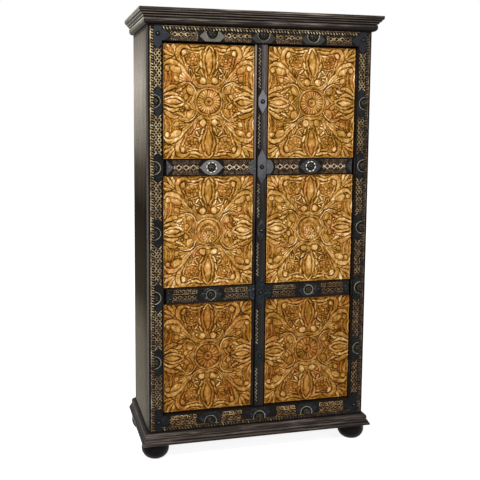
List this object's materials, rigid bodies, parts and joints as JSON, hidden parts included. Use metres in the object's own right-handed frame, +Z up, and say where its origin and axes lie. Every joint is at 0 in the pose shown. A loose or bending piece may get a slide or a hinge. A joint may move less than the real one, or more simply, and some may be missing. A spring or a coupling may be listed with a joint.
{
  "type": "two-door carved cabinet",
  "caption": "Tall free-standing cabinet with two hinged doors of carved panels, a moulded crown and base, metal-plated front frame, inner shelves, slide bolts and bun feet.",
  "frame": {"origin": "on the floor, under the middle of the cabinet's width and depth", "axes": "+Z up, front faces -Y, +X to the viewer's right when facing the front"},
  "size_m": [1.02, 0.44, 1.83],
  "materials": {
    "case_wood": "worn near-black paint over wood, satin",
    "side_wood": "dark grey-brown stained planks, worn",
    "inside_wood": "plain oiled boards, matte",
    "foot_wood": "near-black turned wood, satin",
    "moulding_wood": "dark brown-black moulding with rubbed edges",
    "carved_wood": "honey-gold carved wood with dark crevices",
    "plate_metal": "slate-grey painted sheet metal, worn",
    "gold_metal": "old gold paint on thin metal",
    "boss_metal": "black and gold painted embossed metal",
    "hinge_metal": "blackened iron",
    "bolt_metal": "dull steel"
  },
  "bodies": {
    "case": {"back_feet": "foot_wood", "back_panel": "inside_wood", "base_board": "case_wood", "base_front": "moulding_wood", "base_left": "moulding_wood", "base_right": "moulding_wood", "bolt_keepers": "bolt_metal", "border_strips": "gold_metal", "bottom_rail": "case_wood", "catch_magnet": "hinge_metal", "corner_nails": "boss_metal", "corner_plates": "plate_metal", "crown_front": "moulding_wood", "crown_left": "moulding_wood", "crown_right": "moulding_wood", "floor_board": "inside_wood", "frame_medallions": "boss_metal", "front_feet": "foot_wood", "hinge_pins": "hinge_metal", "hinge_post_leaves": "hinge_metal", "hinge_post_screws": "hinge_metal", "left_post": "case_wood", "left_side": "side_wood", "post_plates": "plate_metal", "rail_plates": "plate_metal", "right_post": "case_wood", "right_side": "side_wood", "shelf_cleats": "inside_wood", "shelf_lower": "inside_wood", "shelf_middle": "inside_wood", "shelf_upper": "inside_wood", "top_board": "case_wood", "top_rail": "case_wood"},
    "left_door": {"left_door_board": "case_wood", "left_panel_lower": "carved_wood", "left_panel_middle": "carved_wood", "left_panel_upper": "carved_wood", "left_rail_lower": "case_wood", "left_rail_upper": "case_wood", "left_edge_strip": "case_wood", "left_door_plates": "plate_metal", "left_door_rosettes": "boss_metal", "left_hinge_leaves": "hinge_metal", "left_hinge_screws": "hinge_metal", "bolt_plates": "bolt_metal"},
    "right_door": {"right_door_board": "case_wood", "right_panel_lower": "carved_wood", "right_panel_middle": "carved_wood", "right_panel_upper": "carved_wood", "right_rail_lower": "case_wood", "right_rail_upper": "case_wood", "meeting_stile": "case_wood", "right_door_plates": "plate_metal", "right_door_rosettes": "boss_metal", "meeting_stile_nails": "boss_metal", "right_hinge_leaves": "hinge_metal", "right_hinge_screws": "hinge_metal", "catch_strike": "bolt_metal"},
    "top_bolt": {"top_bolt": "bolt_metal"},
    "bottom_bolt": {"bottom_bolt": "bolt_metal"}
  },
  "joints": [
    {"name": "left_door_hinge", "type": "hinge", "parent": "case", "child": "left_door", "pos_m": [-0.4135, -0.1735, 0.95], "axis": [0, 0, -1], "range_deg": [0, 105]},
    {"name": "right_door_hinge", "type": "hinge", "parent": "case", "child": "right_door", "pos_m": [0.4135, -0.1735, 0.95], "axis": [0, 0, 1], "range_deg": [0, 105]},
    {"name": "top_bolt_slide", "type": "slide", "parent": "left_door", "child": "top_bolt", "axis": [0, 0, 1], "range_m": [0, 0.022]},
    {"name": "bottom_bolt_slide", "type": "slide", "parent": "left_door", "child": "bottom_bolt", "axis": [0, 0, -1], "range_m": [0, 0.022]}
  ]
}
